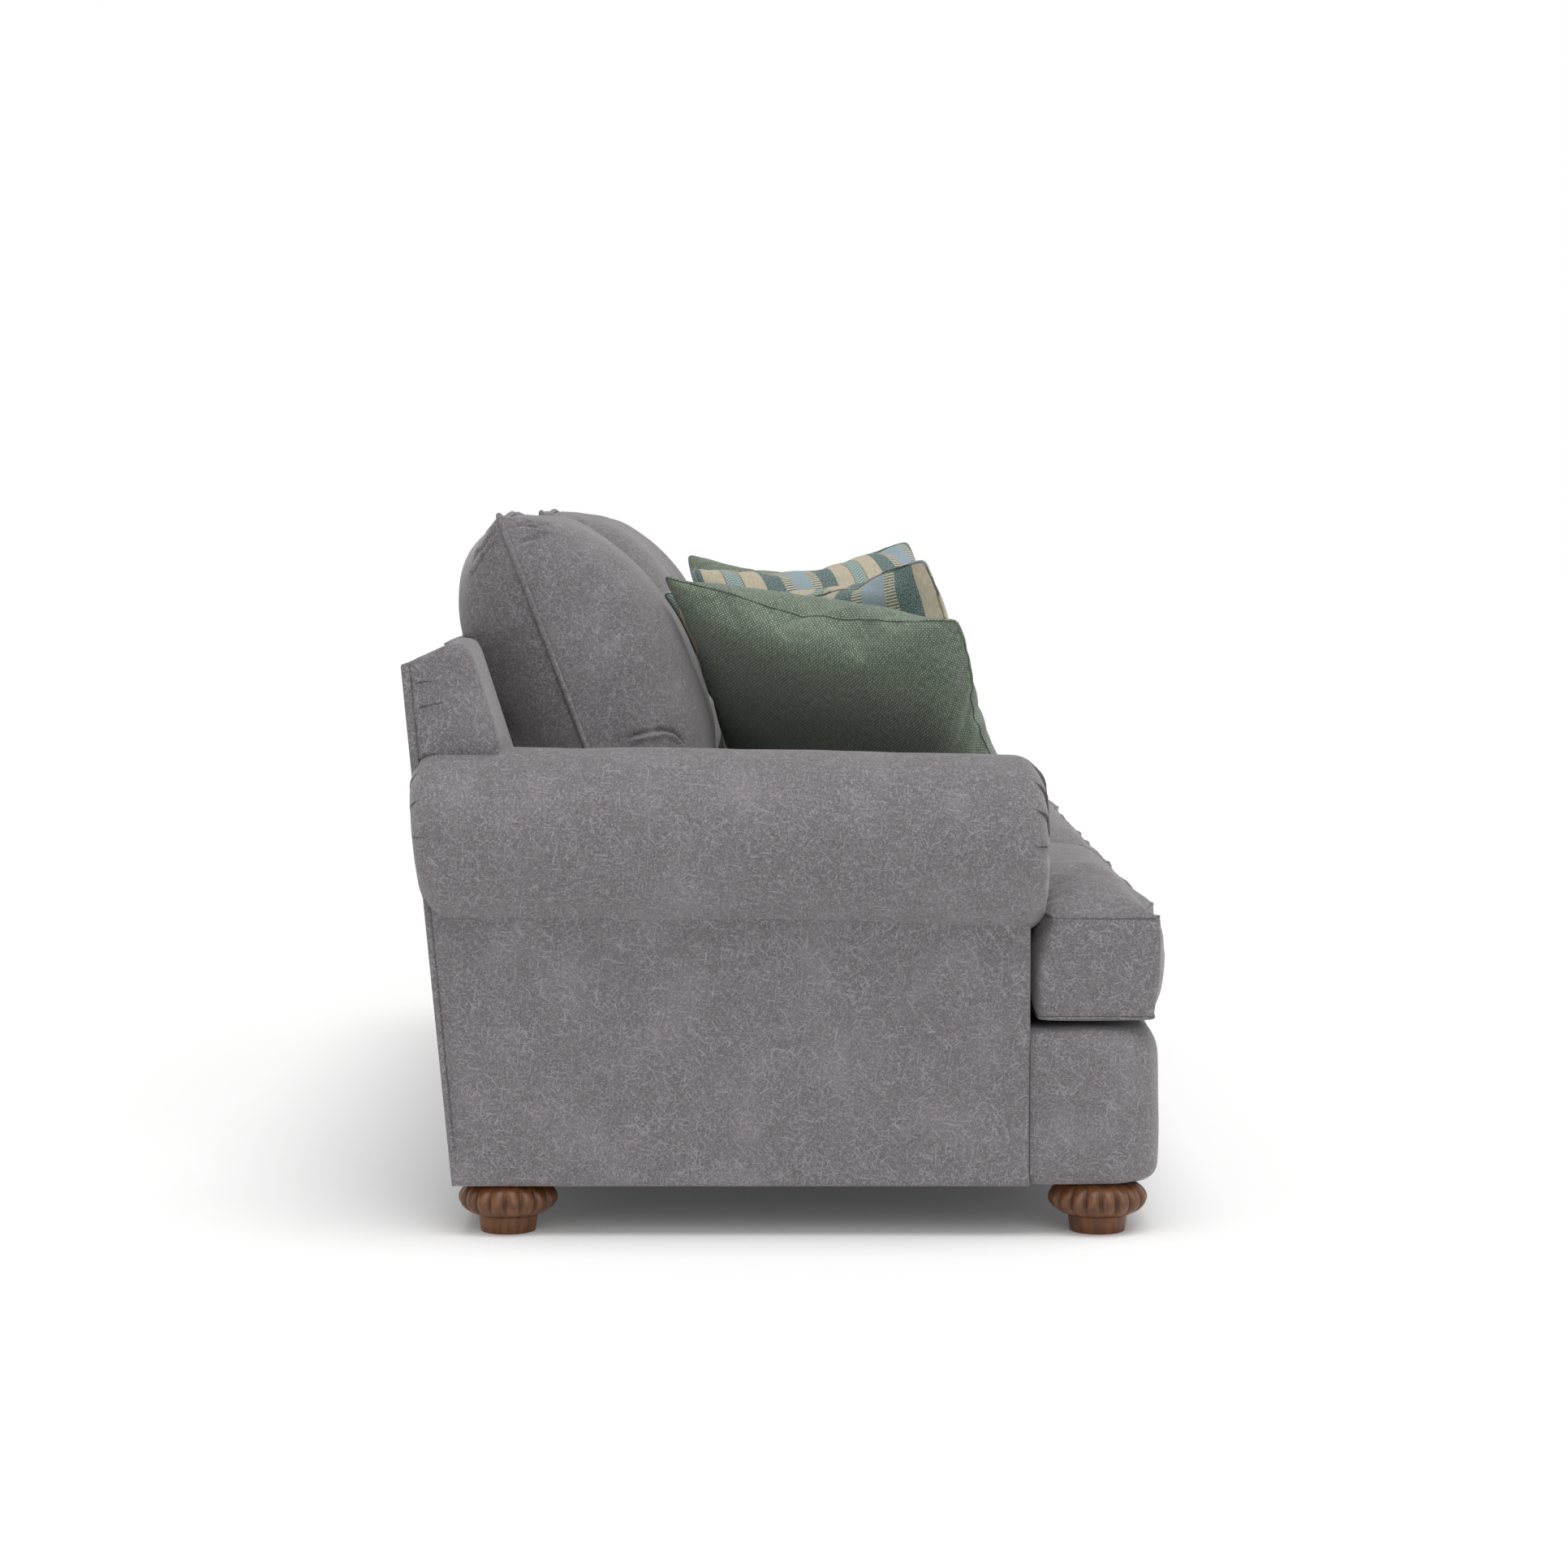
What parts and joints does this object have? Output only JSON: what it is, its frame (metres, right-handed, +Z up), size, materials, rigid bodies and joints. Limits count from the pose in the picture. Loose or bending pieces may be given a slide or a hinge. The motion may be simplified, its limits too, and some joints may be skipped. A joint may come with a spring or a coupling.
{
  "type": "english roll arm sofa",
  "caption": "Long sofa with pleated roll arms, loose T-front seat cushions, loose back cushions, toss pillows and turned bun feet.",
  "frame": {"origin": "on the floor, under the middle of the sofa's box", "axes": "+X to the sitter's left along the length, -Y to the front, +Z up"},
  "size_m": [2.29, 1.0356, 0.9872],
  "materials": {
    "upholstery": "warm mauve-grey suede-like cloth with fine lighter creases",
    "green_weave": "dark green basket weave with pale dots",
    "stripe_weave": "woven stripes of linen, slate green, pale blue and teal",
    "walnut": "satin walnut stain",
    "hardwood": "unfinished kiln-dried hardwood",
    "spring_steel": "oiled spring wire and zinc-plated bolts",
    "lining": "black non-woven lining"
  },
  "bodies": {
    "root": {"arm_board_front_left": "hardwood", "arm_board_front_right": "hardwood", "arm_board_rear_left": "hardwood", "arm_board_rear_right": "hardwood", "arm_cover_left": "upholstery", "arm_cover_right": "upholstery", "arm_rail_left": "hardwood", "arm_rail_right": "hardwood", "back_post_inner_left": "hardwood", "back_post_inner_right": "hardwood", "back_post_left": "hardwood", "back_post_right": "hardwood", "back_rail": "hardwood", "back_top_rail": "hardwood", "back_tuck_rail": "hardwood", "base_front": "upholstery", "corner_block_front_left": "hardwood", "corner_block_front_right": "hardwood", "corner_block_rear_left": "hardwood", "corner_block_rear_right": "hardwood", "dust_cover": "lining", "foot_bolt_front_left": "spring_steel", "foot_bolt_front_right": "spring_steel", "foot_bolt_rear_left": "spring_steel", "foot_bolt_rear_right": "spring_steel", "foot_front_left": "walnut", "foot_front_right": "walnut", "foot_rear_left": "walnut", "foot_rear_right": "walnut", "front_rail": "hardwood", "inside_back": "upholstery", "outside_arm_left": "upholstery", "outside_arm_right": "upholstery", "outside_back": "upholstery", "seat_deck": "lining", "seat_stretcher_left": "hardwood", "seat_stretcher_right": "hardwood", "side_rail_left": "hardwood", "side_rail_right": "hardwood", "spring_unit": "spring_steel"},
    "back_cushion_left": {"back_cushion_left": "upholstery"},
    "back_cushion_middle": {"back_cushion_middle": "upholstery"},
    "back_cushion_right": {"back_cushion_right": "upholstery"},
    "pillow_green_left": {"pillow_green_left": "green_weave"},
    "pillow_green_right": {"pillow_green_right": "green_weave"},
    "pillow_striped_left": {"pillow_striped_left": "stripe_weave"},
    "pillow_striped_right": {"pillow_striped_right": "stripe_weave"},
    "seat_cushion_left": {"seat_cushion_left": "upholstery"},
    "seat_cushion_middle": {"seat_cushion_middle": "upholstery"},
    "seat_cushion_right": {"seat_cushion_right": "upholstery"}
  },
  "joints": [
    {"name": "back_cushion_left_lift", "type": "slide", "parent": "root", "child": "back_cushion_left", "axis": [0, 0.2756, 0.9613], "range_m": [0, 0.45]},
    {"name": "back_cushion_middle_lift", "type": "slide", "parent": "root", "child": "back_cushion_middle", "axis": [0, 0.2756, 0.9613], "range_m": [0, 0.45]},
    {"name": "back_cushion_right_lift", "type": "slide", "parent": "root", "child": "back_cushion_right", "axis": [0, 0.2756, 0.9613], "range_m": [0, 0.45]},
    {"name": "pillow_green_left_lift", "type": "slide", "parent": "root", "child": "pillow_green_left", "axis": [0.6698, 0, 0.7425], "range_m": [0, 0.45]},
    {"name": "pillow_green_right_lift", "type": "slide", "parent": "root", "child": "pillow_green_right", "axis": [-0.6698, 0, 0.7425], "range_m": [0, 0.45]},
    {"name": "pillow_striped_left_lift", "type": "slide", "parent": "root", "child": "pillow_striped_left", "axis": [0, 0, 1], "range_m": [0, 0.45]},
    {"name": "pillow_striped_right_lift", "type": "slide", "parent": "root", "child": "pillow_striped_right", "axis": [0, 0, 1], "range_m": [0, 0.45]},
    {"name": "seat_cushion_left_slide", "type": "slide", "parent": "root", "child": "seat_cushion_left", "axis": [0, -1, 0], "range_m": [0, 0.6]},
    {"name": "seat_cushion_middle_slide", "type": "slide", "parent": "root", "child": "seat_cushion_middle", "axis": [0, -1, 0], "range_m": [0, 0.6]},
    {"name": "seat_cushion_right_slide", "type": "slide", "parent": "root", "child": "seat_cushion_right", "axis": [0, -1, 0], "range_m": [0, 0.6]}
  ]
}
